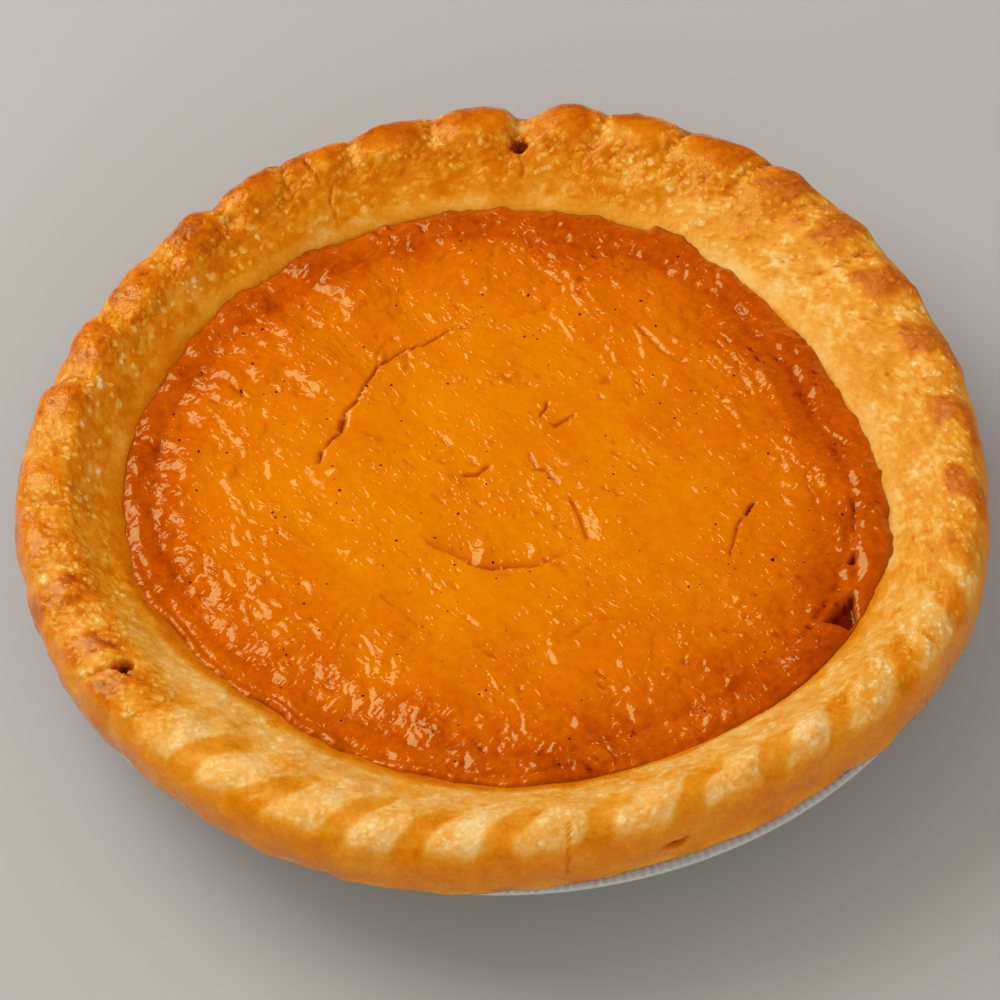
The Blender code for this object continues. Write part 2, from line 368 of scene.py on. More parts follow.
def smooth_rows(table, places):
    """Rows on the smooth cubic through a table's rows, each from its four nearest rows."""
    table = np.array(table)
    table = np.vstack([2 * table[0] - table[1], table, 2 * table[-1] - table[-2]])
    base = np.minimum(places.astype(int), len(table) - 4)
    t = (places - base)[:, None]
    a, b, c, d = (table[base + step] for step in range(4))
    bend = 2 * a - 5 * b + 4 * c - d
    return 0.5 * (2 * b + (c - a) * t + bend * t**2 + (3 * b - 3 * c + d - a) * t**3)


def normals_of(rows):
    """Outward directions of a wrapped grid, across its two neighbouring differences."""
    round_it = np.roll(rows, -1, axis=1) - np.roll(rows, 1, axis=1)
    over_it = np.gradient(rows, axis=0)
    facing = np.cross(round_it, over_it)
    return facing / np.maximum(np.linalg.norm(facing, axis=-1, keepdims=True), 1e-12)


def bell(value, width):
    """1 at zero, falling off on both sides as e to the minus square of value over width."""
    return np.exp(-((value / width) ** 2))


def within(value, low, full, last, high):
    """1 from full to last, easing to 0 at low on one side and at high on the other."""
    return rise(value, low, full) * (1 - rise(value, last, high))


def turn_gap(angle, azimuth):
    """How far round the pie a place is from an azimuth in degrees, in radians, signed."""
    return (angle - np.radians(azimuth) + math.pi) % math.tau - math.pi


def near_azimuth(angle, azimuth, half, fade):
    """1 within half degrees of an azimuth, easing to 0 over the fade on either side."""
    away = np.abs(turn_gap(angle, azimuth))
    return 1 - rise(away, math.radians(half), math.radians(half + fade))


def blisters(angle, across, around, width, lean, share, seed):
    """Domes strewn over the edge, from 0 to 1.

    The edge is cut into cells, so many round the pie and so wide across it. A share of them
    hold a dome at a random place and of a random reach, and the highest dome counts.
    """
    right = (angle + lean * across / PASTRY_RADIUS) / math.tau * around
    up = across / width + 0 * right
    dome = np.zeros_like(up)
    for step in range(9):
        cell_right = np.floor(right) + step % 3 - 1
        cell_up = np.floor(up) + step // 3 - 1
        cell = np.stack([cell_right % around, cell_up, 0 * up], axis=-1)
        aside = right - cell_right - scatter(cell, seed)
        above = up - cell_up - scatter(cell, seed + 1)
        reach = 0.35 + 0.45 * scatter(cell, seed + 2)
        kept = scatter(cell, seed + 3) < share
        dome = np.maximum(dome, kept * (1 - (aside**2 + above**2) / reach**2))
    return dome


def column_angle(count, slant):
    """Azimuth of a column at a share of the slant: its crest's, and the lean times how far
    the share is from the crest's own. The flutes lean most at front and right."""
    crest = flute_angle(count)
    lean = FLUTE_SLANT * (0.35 + 1.15 * near_azimuth(crest, *MOST_SLANTED))
    return crest + (slant - CREST_SLANT_SHARE) * lean


def crust_edge():
    """Points of the fluted edge from the outer foot to the filling, and their finish: how toasted each
    one is, with painted shade added, and how rough, flaky and matte.

    The smooth section is carried round the slanted flutes. Left and back the flutes are
    knobs with narrow creases, right and front they are low waves. Flakes, blisters, holes
    and cracks then move the points along the surface's own direction.
    """
    table = np.array(EDGE_SECTION)
    span = np.hypot(np.diff(table[:, 0]) * EDGE_WIDTH, np.diff(table[:, 1]) * CREST_HEIGHT)
    length = np.concatenate([[0], np.cumsum(span)])
    steps = np.interp(np.linspace(length[-1], 0, EDGE_ROWS), length, np.arange(len(table)))
    out, up, slant = smooth_rows(EDGE_SECTION, steps).T[:, :, None]
    across = np.interp(steps, np.arange(len(table)), length)[:, None]
    count = (np.arange(FLUTES * COLUMNS_A_FLUTE) / COLUMNS_A_FLUTE)[None, :]
    angle = column_angle(count, slant)
    inner = filling_radius(angle)
    widest = PASTRY_RADIUS + waves(angle, EDGE_WAVES)
    for azimuth, half, fade, further in OVERHANGS:
        widest = widest + further * near_azimuth(angle, azimuth, half, fade)
    radius = inner + (widest - inner) * out
    flat = at_radius(radius, angle, up * 0.01)
    front, right, back, left = (near_azimuth(angle, *part) for part in (FRONT, RIGHT, BACK, LEFT))

    place = count + 0.09 * lumps(flat, 0.0110, 1) + 0.065 * lumps(flat, 0.0040, 2) + 0.5
    number = np.floor(place).astype(int) % FLUTES
    phase = place % 1
    draw = np.random.default_rng(12)
    strength = draw.uniform(0.80, 1.15, FLUTES)[number]
    paleness = draw.uniform(-1, 1, FLUTES)[number]
    knobbed = np.maximum(back, left)
    knob = np.clip(1 - (np.abs(2 * phase - 1) / (1.06 - 0.18 * left)) ** 2.3, 0, 1)
    low_wave = 0.5 - 0.5 * np.cos(math.tau * phase)
    hump = knobbed * knob + (1 - knobbed) * low_wave
    extent = rise(out, 0.27 + 0.17 * knobbed, 0.66) * (1 - 0.85 * rise(out, 0.90, 1.0))
    share = 0.26 + 0.18 * right + 0.36 * left + 0.42 * back
    relief = FLUTE_DEPTH * share * strength * extent * (hump - 0.6)
    leaning = near_azimuth(angle, *LEANING_KNOBS[:3]) * knob * extent
    relief -= LEANING_KNOBS[3] * leaning * (phase - 0.5)
    outwards = np.clip((out - 0.6) / 0.4, 0, 1)
    radius = radius + relief * outwards
    lift = np.where(up > 0, CREST_HEIGHT + waves(angle, CREST_WAVES), CREST_HEIGHT)
    past_notch = np.degrees(turn_gap(angle, NOTCH[0]))
    notch = np.where(past_notch > 0, 1 - rise(past_notch, 0.5, 2.0), 1 - rise(-past_notch, 0.6, 5.5))
    height = FILLING_LEVEL + lift * up + relief * (1 - outwards * 0.6)
    height -= NOTCH[1] * notch * rise(out, 0.45, 0.72) * (up > 0)
    inner_crest = near_azimuth(angle, *INNER_CREST[:3])
    height += INNER_CREST[3] * inner_crest * bell(out - 0.48, 0.13)
    height -= INNER_CREST[4] * inner_crest * rise(out, 0.52, 0.86) * rise(up, 0.10, 0.60)
    foot_low = 1 - rise(up, -0.30, 0.30)
    height = height - FOOT_DROP * near_azimuth(angle, *LOW_FOOT) * foot_low
    on_rim = TIN_RIM_RADIUS - SHOWN_RIM - TIN_OFF_CENTRE * np.cos(angle)
    short = (out > 0.8) * np.maximum(0, on_rim - radius)
    radius = radius + foot_low * near_azimuth(angle, *SHOWN_FOIL) * short
    points = at_radius(radius, angle, height)

    # Smooth orange stretches, and rough pale ones with blisters and flakes between them
    on_top = within(out, 0.36 + 0.08 * right, 0.54 + 0.06 * right, 0.90, 0.99)
    patchy = lumps(points, 0.0050, 3) + 0.6 * lumps(points, 0.0026, 4)
    shifted = out + 0.05 * patchy
    lobe = (1 - front) * rise(hump + 0.16 * patchy, 0.38, 0.88)
    lobe = lobe * rise(shifted, 0.53 - 0.13 * left - 0.01 * right, 0.70 - 0.10 * left - 0.04 * right)
    lobe = lobe * (1 - (0.90 - 0.45 * left) * rise(out + 0.02 * patchy, 0.90, 0.98))
    crease = front * (1 - rise(hump + 0.08 * patchy, 0.12, 0.52)) * rise(shifted, 0.44, 0.62)
    crease = crease * (1 - rise(out, 0.93, 1.0))
    orange = lobe + crease
    shoulder = bell(shifted - 0.50, 0.10) * knobbed * (0.55 + 0.45 * patchy)
    inwards = np.maximum(on_top, 0.6 * back * rise(shifted, 0.26, 0.44) * (out < 0.6))
    rough = inwards * rise(1 - orange + 0.35 * patchy, 0.25, 0.75) * (1 - 0.60 * front)
    dull = 0.75 * sum(near_azimuth(angle, *part) for part in DULL_TOPS)
    least_rough = np.maximum(shoulder, np.maximum(0.95 * right, dull) * on_top)
    rough = np.clip(np.maximum(rough, least_rough), 0, 1)
    domes = blisters(angle, across, around=330, width=0.0017, lean=0.5, share=0.70, seed=40)
    pits = blisters(angle, across, around=420, width=0.0016, lean=0.3, share=0.16, seed=50)
    flakes = blisters(angle, across, around=230, width=0.0014, lean=1.3, share=0.32, seed=60)
    fine = lumps(points, 0.0012, 7)
    wall = within(out, 0.05, 0.18, 0.46, 0.62)
    rough = np.maximum(rough, 0.32 * right * wall)
    flaky = wall * (0.40 + 0.80 * left * rise(out, 0.14, 0.34) + 0.35 * back - 0.12 * right)
    flaky += 0.75 * knobbed * on_top * (1 - 0.6 * lobe)
    flaky += 0.40 * front * within(out, 0.62, 0.76, 0.90, 0.98) * rise(hump, 0.4, 0.8)
    flaky = np.clip(flaky * (0.85 + 0.35 * lumps(points, 0.0070, 18)), 0, 1)
    valley = 1 - rise(np.minimum(phase, 1 - phase), 0.0, 0.10)

    # How far each kind of unevenness stands out, in metres
    push = 0.00055 * lumps(points, 0.0095, 8) * rise(out, 0.0, 0.15)
    push += 0.00034 * lumps(points, 0.0038, 9) * rise(out, 0.05, 0.3)
    push += rough * (0.00026 * domes + 0.00012 * fine)
    push += wall * (0.00016 * flakes + 0.00010 * right * fine)
    push -= left * on_top * (1 - rough) * 0.00034 * pits
    push -= 0.00022 * knobbed * on_top * valley

    # How toasted each place is, from 0 for pale dough to 1 for dark brown, with painted shade added on
    # the walls and lobes at the left and back, on the outer side, and in the notch, holes and cracks
    crown = rise(out, 0.38, 0.64)
    shaded = np.maximum(left, 0.8 * back)
    toast_and_shade = 0.22 + 0.08 * lumps(points, 0.0075, 10) + 0.06 * lumps(points, 0.0030, 17)
    # Painted shade: the inner wall at the left and back faces away from the window and is darkened
    toast_and_shade += wall * (0.18 * shaded - 0.10 * flakes * shaded + 0.06 * back + 0.08 * right)
    toast_and_shade += 0.08 * left * (1 - rise(out, 0.14, 0.32)) - 0.10 * wall * near_azimuth(angle, *PALE_WALL)
    toast_and_shade += wall * (0.07 + 0.05 * shaded + 0.06 * right) * lumps(points, 0.0020, 19)
    toast_and_shade += wall * right * (0.30 * rise(lumps(points, 0.0010, 41), 0.62, 0.80) - 0.09 * flakes)
    # The lobes at the left and back get a little painted shade too
    toast_and_shade += crown * lobe * (0.25 + 0.05 * paleness + 0.04 * shaded + 0.15 * right) + 0.28 * crease
    toast_and_shade += crown * (0.08 * (1 - front) - 0.10 * front - 0.05 * right * (1 - lobe))
    # Painted shade in the notch of the crest
    toast_and_shade += 0.40 * (1 - rise(np.abs(past_notch), 0.5, 1.6)) * within(out, 0.44, 0.48, 0.60, 0.72)
    toast_and_shade += crown * (1 - front) * 0.08 * patchy
    # The back crest browns more. The outer side is darker, more so at the front: browning of the rim
    # and partly painted shade where it faces away from the window
    toast_and_shade += back * rise(out, 0.66, 0.90) * 0.12 + (0.21 + 0.16 * front) * rise(out, 0.91, 1.0)
    toast_and_shade += rough * (0.10 + 0.04 * right - 0.22 * domes) * (1 - 0.4 * front)
    toast_and_shade += left * on_top * (1 - rough) * 0.14 * pits
    toast_and_shade += 0.08 * knobbed * on_top * valley
    toast_and_shade -= 0.85 * right * on_top * np.maximum(0, toast_and_shade - 0.60)
    matte = 0.80 * right * rise(out, 0.06, 0.20)
    filmy = near_azimuth(angle, *FILM[:3])
    stain = out + 0.05 * lumps(points, 0.0050, 12) - 0.05 * near_azimuth(angle, *HIGH_STAIN)
    stained = 1 - 0.85 * near_azimuth(angle, *FAINT_STAIN) - 0.4 * back
    toast_and_shade += 0.24 * stained * (1 - 0.5 * filmy) * (1 - rise(stain, 0.00, 0.15))
    toast_and_shade += 0.25 * filmy * (1 - rise(out + 0.04 * lumps(points, 0.0036, 13), 0.08, 0.21))

    # The holes and the hole at the foot are darkened inside: painted shade in the hollows
    for azimuth, middle, half_round, half_across, depth, ragged in HOLES:
        aside = turn_gap(angle, azimuth) * middle / half_round
        inwards = (radius - middle) / half_across
        edge = np.hypot(aside, inwards) + ragged * lumps(points, 0.0016, 14)
        hollow = (1 - rise(edge, 0.35, 1.0)) * (up > 0)
        push -= hollow * depth
        toast_and_shade += 0.70 * hollow
    aside = turn_gap(angle, FOOT_HOLE[0]) * PASTRY_RADIUS / FOOT_HOLE[2]
    foot = np.hypot(aside, (up - FOOT_HOLE[1]) / FOOT_HOLE[3]) + 0.25 * lumps(points, 0.0020, 16)
    foot = (1 - rise(foot, 0.55, 1.1)) * (out > 0.8)
    push -= foot * FOOT_HOLE[4]
    toast_and_shade += 0.60 * foot
    # Each crack is darkened along its groove: painted shade
    for half_width, depth, line in CRUST_CRACKS:
        reach, azimuths = zip(*line)
        aside = np.abs(turn_gap(angle, np.interp(radius, reach, azimuths))) * radius
        aside = aside + 0.0003 * lumps(points, 0.0020, 15)
        ends = within(radius, reach[0] - 0.001, reach[0] + 0.001, reach[-1] - 0.001, reach[-1] + 0.001)
        groove = bell(aside, half_width) * ends * (up > 0)
        push -= groove * depth
        toast_and_shade += 0.24 * groove
    return points + normals_of(points) * push[..., None], np.stack([toast_and_shade, rough, flaky, matte])


def crust_rows():
    """All rows of the crust with their finish: the lining that follows the tin's base, side
    and flange, then the edge, and then the straight wall and the base of the pocket."""
    edge, finish = crust_edge()
    count = np.arange(FLUTES * COLUMNS_A_FLUTE) / COLUMNS_A_FLUTE
    angle = column_angle(count, 0.0)
    turned = column_angle(count, 0.9)
    inset = FOIL_THICKNESS * 1.3 + PLEAT_DEPTH + FIT_GAP + TIN_OFF_CENTRE
    low = BASE_CORNER_RADIUS + FOIL_THICKNESS
    flange_top = TIN_DEPTH + FOIL_THICKNESS + FIT_GAP
    lining = (
        (TIN_BASE_RADIUS * 0.94, CRUST_FLOOR),
        (side_radius(low) - inset, low + 0.0008),
        (side_radius(TIN_DEPTH) - inset - 0.0014, TIN_DEPTH - 0.0012),
        (TIN_SIDE_TOP_RADIUS - 0.0008, flange_top),
        (TIN_SIDE_TOP_RADIUS + 0.0070, flange_top + 0.0001),
        (TIN_RIM_RADIUS - 0.0018, flange_top + 0.0001),
    )
    pocket_depth = FILLING_LEVEL - CRUST_FLOOR - BASE_PASTRY
    wall_lean = (FILLING_RADIUS - POCKET_BASE_RADIUS) / pocket_depth
    under = np.array((0.0015, 0.0040))[:, None]
    outside = np.array([at_radius(radius, angle, height) for radius, height in lining])
    wall = at_radius(filling_radius(turned) - under * wall_lean, turned, FILLING_LEVEL - under)
    base = at_radius(POCKET_BASE_RADIUS, turned, CRUST_FLOOR + BASE_PASTRY)
    rows = np.concatenate([outside, edge, wall, base[None]])
    baked_and_shaded = np.stack([np.full(rows.shape[:2], hidden) for hidden in CRUST_FINISH.values()])
    baked_and_shaded[:, len(outside) : len(outside) + len(edge)] = finish
    return rows, baked_and_shaded


def put_attribute(mesh, name, values):
    """Stores one number for each point of the mesh, for its material to read."""
    field = mesh.attributes.new(name, "FLOAT", "POINT")
    field.data.foreach_set("value", np.asarray(values, np.float32).ravel())


crust_points, crust_finish = crust_rows()
crust_mesh = wrapped_mesh("crust_fluted", crust_points, CRUST_FLOOR, CRUST_FLOOR + BASE_PASTRY)
for (name, hidden), values in zip(CRUST_FINISH.items(), crust_finish):
    put_attribute(crust_mesh, name, np.append(values.ravel(), (hidden, hidden)))
crust = add_object("crust_fluted", crust_mesh)


def add_math(tree, operation, *values):
    """One Math node and its result."""
    return add_node(tree, "ShaderNodeMath", dict(enumerate(values)), operation=operation).outputs[0]


def add_shares(tree, total, *shares):
    """A value with others added to it, each as a (value, factor) pair that is multiplied."""
    for value, factor in shares:
        total = add_math(tree, "MULTIPLY_ADD", value, factor, total)
    return total


def read_attribute(tree, name):
    """The number that the mesh holds under a name."""
    return add_node(tree, "ShaderNodeAttribute", attribute_name=name).outputs["Fac"]


def colour_ramp(tree, factor, stops):
    """A ramp through (place, colour) stops."""
    made = add_node(tree, "ShaderNodeValToRGB", {0: factor})
    points = made.color_ramp.elements
    points[0].position, points[0].color = stops[0]
    points[1].position, points[1].color = stops[-1]
    for place, colour in stops[1:-1]:
        points.new(place).color = colour
    return made.outputs["Color"]


def new_group(name, inputs, outputs):
    """A node group whose inputs and outputs are given as names with their kinds."""
    tree = bpy.data.node_groups.new(name, "ShaderNodeTree")
    for way, sockets in (("INPUT", inputs), ("OUTPUT", outputs)):
        for socket, kind in sockets.items():
            tree.interface.new_socket(socket, in_out=way, socket_type="NodeSocket" + kind)
    entry = tree.nodes.new("NodeGroupInput")
    leave = tree.nodes.new("NodeGroupOutput")
    return tree, entry.outputs[: len(inputs)], leave.inputs


def bake_grain():
    """A node group for baked surfaces: fine pores and mottling of a given grain size.

    Two noises, one coarse and one three times finer, are mixed into a tint from -1 to 1
    and a height from 0 to 1.
    """
    inputs = {"Place": "Vector", "Grains a metre": "Float"}
    tree, entry, leave = new_group("bake_grain", inputs, {"Tint": "Float", "Height": "Float"})
    place, number = entry
    coarse = add_noise(tree, place, number, detail=3.0, roughness=0.6)
    fine = add_noise(tree, place, add_math(tree, "MULTIPLY", number, 3.1))
    height = add_node(tree, "ShaderNodeMix", {0: 0.35, 2: coarse, 3: fine}, data_type="FLOAT")
    tree.links.new(add_range(tree, coarse, 0.25, 0.75, to_low=-1.0), leave[0])
    tree.links.new(height.outputs[0], leave[1])
    return tree


def raised_beads():
    """A node group for small domes strewn at random, from 0 between them to 1 on top.

    The place is wobbled by noise. Each scattered point holds a dome of random reach if its
    draw is under the share. A soft dome is round, a hard one has a flat top, and the side
    it leans to is the steeper one.
    """
    inputs = {"Place": "Vector", "Beads a metre": "Float", "Share": "Float"}
    inputs.update({"Softness": "Float", "Lean": "Vector"})
    tree, entry, leave = new_group("raised_beads", inputs, {"Dome": "Float"})
    place, number, share, softness, lean = entry
    wobble = add_node(tree, "ShaderNodeTexNoise", {"Vector": place, "Scale": number, "Detail": 1.0})
    aside = add_node(
        tree,
        "ShaderNodeVectorMath",
        {0: wobble.outputs["Color"], "Scale": add_math(tree, "DIVIDE", 0.9, number)},
        operation="SCALE",
    )
    moved = add_node(
        tree, "ShaderNodeVectorMath", {0: aside.outputs[0], 1: place}, operation="ADD"
    ).outputs[0]
    nearest = add_node(tree, "ShaderNodeTexVoronoi", {"Vector": moved, "Scale": number}).outputs
    away = add_node(
        tree, "ShaderNodeVectorMath", {0: moved, 1: nearest["Position"]}, operation="SUBTRACT"
    )
    leaning = add_node(
        tree, "ShaderNodeVectorMath", {0: away.outputs[0], 1: lean}, operation="DOT_PRODUCT"
    )
    distance = add_shares(tree, nearest["Distance"], (leaning.outputs["Value"], number))
    draws = add_node(tree, "ShaderNodeSeparateXYZ", {0: nearest["Color"]}).outputs
    kept = add_math(tree, "LESS_THAN", draws[0], share)
    size = add_shares(tree, 0.32, (draws[1], 0.30))
    full = add_math(tree, "MULTIPLY", size, add_math(tree, "SUBTRACT", 1.0, softness))
    dome = add_range(tree, distance, size, full, interpolation_type="SMOOTHSTEP")
    tree.links.new(add_math(tree, "MULTIPLY", dome, kept), leave[0])
    return tree


def add_grain(tree, place, number):
    """The grain group's tint and height at a place, with so many grains a metre."""
    inputs = {"Place": place, "Grains a metre": number}
    made = add_node(tree, "ShaderNodeGroup", inputs, node_tree=grain_group)
    return made.outputs["Tint"], made.outputs["Height"]


def add_beads(tree, place, number, share, softness, lean=(0.0, 0.0, 0.0)):
    """The bead group's dome at a place, with so many beads a metre."""
    inputs = {"Place": place, "Beads a metre": number, "Share": share}
    inputs.update({"Softness": softness, "Lean": lean})
    return add_node(tree, "ShaderNodeGroup", inputs, node_tree=bead_group).outputs["Dome"]


grain_group = bake_grain()
bead_group = raised_beads()
PASTRY_BROWNING = (
    (0.00, (0.86, 0.62, 0.275, 1.0)),
    (0.16, (0.80, 0.43, 0.100, 1.0)),
    (0.32, (0.74, 0.290, 0.013, 1.0)),
    (0.48, (0.685, 0.208, 0.002, 1.0)),
    (0.64, (0.60, 0.145, 0.001, 1.0)),
    (0.80, (0.42, 0.077, 0.001, 1.0)),
    (1.00, (0.20, 0.014, 0.001, 1.0)),
)


def pastry_material():
    """Baked pastry, coloured by how toasted it is and by the painted shade held with that.

    Round blisters rise where the dough is rough, and thin flat flakes where it is flaky.
    Both are paler on top. Toasted places shine more, and matte ones less.
    """
    material, tree, shader = new_material(
        "baked_pastry",
        Roughness=0.45,
        Specular_IOR_Level=0.48,
        Specular_Tint=(0.80, 0.95, 0.34, 1.0),
        Subsurface_Weight=0.6,
        Subsurface_Radius=(1.0, 0.45, 0.12),
        Subsurface_Scale=0.0016,
    )
    place = add_node(tree, "ShaderNodeTexCoord").outputs["Object"]
    tint, grain = add_grain(tree, place, number=700.0)
    toast_and_shade, rough, flaky, matte = (read_attribute(tree, name) for name in CRUST_FINISH)
    beads = add_beads(tree, place, number=480.0, share=0.85, softness=0.85)
    beads = add_math(tree, "MULTIPLY", beads, rough)
    flakes = add_beads(tree, place, number=430.0, share=0.55, softness=0.45)
    flakes = add_math(tree, "MULTIPLY", flakes, flaky)
    baked_and_shaded = add_shares(tree, toast_and_shade, (tint, 0.09), (rough, 0.08), (beads, -0.24))
    baked_and_shaded = add_shares(tree, baked_and_shaded, (flaky, 0.05), (flakes, -0.26))
    tree.links.new(colour_ramp(tree, baked_and_shaded, PASTRY_BROWNING), shader.inputs["Base Color"])
    sheen = add_range(tree, baked_and_shaded, 0.28, 0.55, to_low=0.44, to_high=0.15)
    dull = add_shares(tree, sheen, (rough, 0.10), (matte, 0.28))
    tree.links.new(dull, shader.inputs["Roughness"])
    height = add_math(tree, "MULTIPLY", grain, 0.46)
    height = add_shares(tree, height, (beads, 0.60), (flakes, 0.36))
    add_bump(tree, shader, height, strength=1.0, distance=0.0005)
    return material


crust.data.materials.append(pastry_material())
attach(crust, "root")
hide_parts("crust")


# The filling. It is a spiced sweet potato custard, poured into the case and spread with a
# spoon, so the strokes show. It set with a glossy skin that wrinkled near the crust, sank
# a little in the middle, cracked round that dip and tore away from the crust at the right.
GRID = 300

# Width of the swollen, darker band next to the crust at four azimuths in degrees, and how
# many such widths its brown takes to fade
EDGE_BAND = ((0.0, 0.0095), (90.0, 0.0105), (180.0, 0.0068), (270.0, 0.0100))
BROWN_FADE = ((0.0, 2.9), (90.0, 1.9), (180.0, 3.2), (270.0, 2.9))

# Height of the skin above its level, by the distance from the crust in widths of the band
SKIN_PROFILE = (
    (0.0, -0.0010), (0.10, -0.0003), (0.35, 0.0004), (0.62, 0.0002), (0.90, -0.0004),
    (1.35, 0.0001), (2.0, 0.0007), (3.0, 0.0006), (9.0, 0.0003),
)
DIP_CENTRE = (0.0005, -0.0090)
DIP_HALF = (0.0190, 0.0165)
DIP_DEPTH = 0.0016
DIP_LIP = (
    (-20.5, -13.0), (-17.6, -16.6), (-12.4, -21.4), (-8.0, -23.4), (-3.2, -24.9),
    (0.6, -24.1), (5.6, -24.4), (10.8, -22.0), (15.0, -19.6), (18.8, -15.8),
)
LIP_DEPTH = 0.0021
LIP_REACH = 0.0036
STROKE_TURN = math.radians(-47.0)

# Relief of the spoon's strokes, from broad to fine: height, length, width and seed
STROKES = (
    (0.00028, 0.0160, 0.0062, 25),
    (0.00016, 0.0055, 0.0024, 26),
    (0.00008, 0.0026, 0.0014, 33),
)
PIMPLE_SHAPE = (1.7, 1.0, 1.0)
WRINKLE_TURN = math.radians(44.0)
WRINKLE_GRAIN = (0.0040, 0.0014, 0.0014)
FILM_LEAN = 1.33
PIMPLE_LEAN = (-0.15, -0.45, 0.0)
TORN_LOBE = (0.0856, -0.0190)
TORN_LOBE_HALF = (0.0052, 0.0135)
TORN_LOBE_HEIGHT = 0.0016

# Stretches of the skin: azimuth of the middle in degrees, half the stretch, its fade
WRINKLED_MIDDLE = (225.0, 25.0, 45.0)
PALE_BAND = (255.0, 45.0, 20.0)

# What the material reads at each point, and its value on the wall and the underside
CUSTARD_FINISH = {"bake_and_shade": 0.64, "wrinkle": 0.0, "wall_place": 3.0, "painted_wall_shade": 0.0}

# Cracks in the skin, in millimetres: half width, depth, how much higher the ground on the
# line's left is than on its right, how far that step reaches, and the line
SKIN_CRACKS = (
    (0.45, 1.1, 0.7, 9.0, (
        (-7.2, 50.7), (-9.2, 49.7), (-11.4, 50.1), (-14.2, 47.9), (-18.9, 44.5),
        (-23.0, 43.7), (-26.9, 40.4), (-30.4, 37.6), (-31.8, 34.0), (-34.8, 27.1),
        (-37.5, 23.9), (-38.7, 17.1), (-41.5, 14.0), (-43.6, 10.0), (-44.1, 7.2),
    )),
    (0.80, 1.2, 0.0, 1.0, ((-37.9, 22.0), (-38.8, 17.6))),
    (0.70, 1.1, 0.0, 1.0, ((-43.2, 11.6), (-44.0, 7.4))),
    (0.35, 0.5, 0.0, 1.0, ((-28.0, 47.2), (-29.9, 42.7), (-30.4, 38.0))),
    (0.48, 0.6, 0.2, 5.0, ((5.2, 10.9), (6.5, 7.4), (6.8, 5.2), (9.5, 4.5), (11.9, 1.6), (12.6, -1.3))),
    (0.50, 0.56, -0.5, 6.0, ((14.8, -2.7), (17.1, -8.4), (18.4, -13.4), (18.9, -15.5), (17.2, -16.8))),
    (0.45, 0.9, 0.4, 5.0, ((-10.6, 3.8), (-6.3, 3.7), (-4.1, 5.8), (-2.7, 6.5))),
    (0.40, 0.7, 0.2, 3.0, ((7.8, 21.7), (9.8, 24.5), (10.1, 26.7))),
    (0.45, 0.8, 0.3, 3.0, ((10.0, 20.0), (11.6, 18.7), (15.2, 21.2), (17.1, 22.2))),
    (0.40, 0.35, 0.1, 3.0, ((-11.1, 11.6), (-6.7, 12.6), (-3.5, 14.0), (-0.7, 16.1))),
    (0.40, 0.30, 0.1, 3.0, ((1.5, 19.3), (3.7, 18.5), (5.6, 16.7))),
    (0.90, 0.35, 0.3, 5.0, ((-3.1, 54.7), (2.5, 54.2), (9.1, 56.0), (13.1, 59.2))),
    (0.80, 0.40, -0.4, 5.0, ((31.2, 50.4), (35.4, 44.4), (38.1, 40.7), (42.4, 37.0))),
    (0.45, 1.6, 0.0, 1.0, ((58.3, -5.7), (57.4, -7.4), (56.5, -10.2))),
    (0.45, 0.55, 0.2, 3.0, ((56.5, -10.2), (55.0, -13.0), (53.3, -16.5), (51.8, -22.7))),
    (0.90, 0.50, 0.4, 4.0, ((71.3, 3.6), (71.9, -1.3), (73.0, -7.7))),
    (0.70, 0.50, 0.3, 4.0, ((54.1, 40.5), (56.6, 33.9), (59.6, 25.8))),
    (0.50, 0.5, 0.2, 3.0, ((-11.0, -48.7), (-7.8, -48.9), (-4.1, -47.8))),
    (0.50, 0.3, 0.2, 4.0, ((-26.9, -40.9), (-22.7, -41.3), (-18.4, -43.8), (-14.2, -45.9))),
    (0.80, 0.4, 0.3, 4.0, ((13.5, -46.4), (16.7, -44.4), (18.9, -42.4), (22.6, -40.8), (26.9, -40.5))),
    (0.45, 0.35, 0.2, 3.0, ((-52.6, -17.4), (-49.4, -16.9), (-46.1, -17.5), (-44.5, -18.9))),
    (0.50, 0.50, 0.0, 3.0, ((-75.2, -14.1), (-71.9, -17.7), (-70.8, -24.7), (-67.5, -26.8))),
    (0.45, 0.5, -0.9, 4.0, ((81.2, -4.9), (81.6, -8.9), (81.8, -12.5), (81.6, -17.1))),
)

# The wall of a crack that shows lies on the side towards this direction, and it is darkened with
# painted shade. It is as wide as the crack's half width times this number, from its crisp edge to where
# it fades. Only cracks deeper than this many millimetres show one, and it ends within its reach
SHOWN_SIDE = (-0.5, 0.85)
SHOWN_WIDTH = 2.2
SHOWN_FROM_DEPTH = 0.52
SHOWN_REACH = 0.0022
LIP_WALL_WIDTH = 0.0030
LIP_WALL_REACH = 0.0045

# Gaps torn in the skin at the right, in millimetres: depth and the corners, anticlockwise
TORN_GAPS = (
    (2.2, ((81.6, -20.6), (80.6, -21.4), (78.4, -25.4), (81.3, -26.0), (82.2, -23.0))),
    (3.2, ((80.8, -30.4), (79.5, -31.2), (75.0, -38.6), (71.8, -42.2), (79.3, -44.8), (81.6, -40.6))),
)

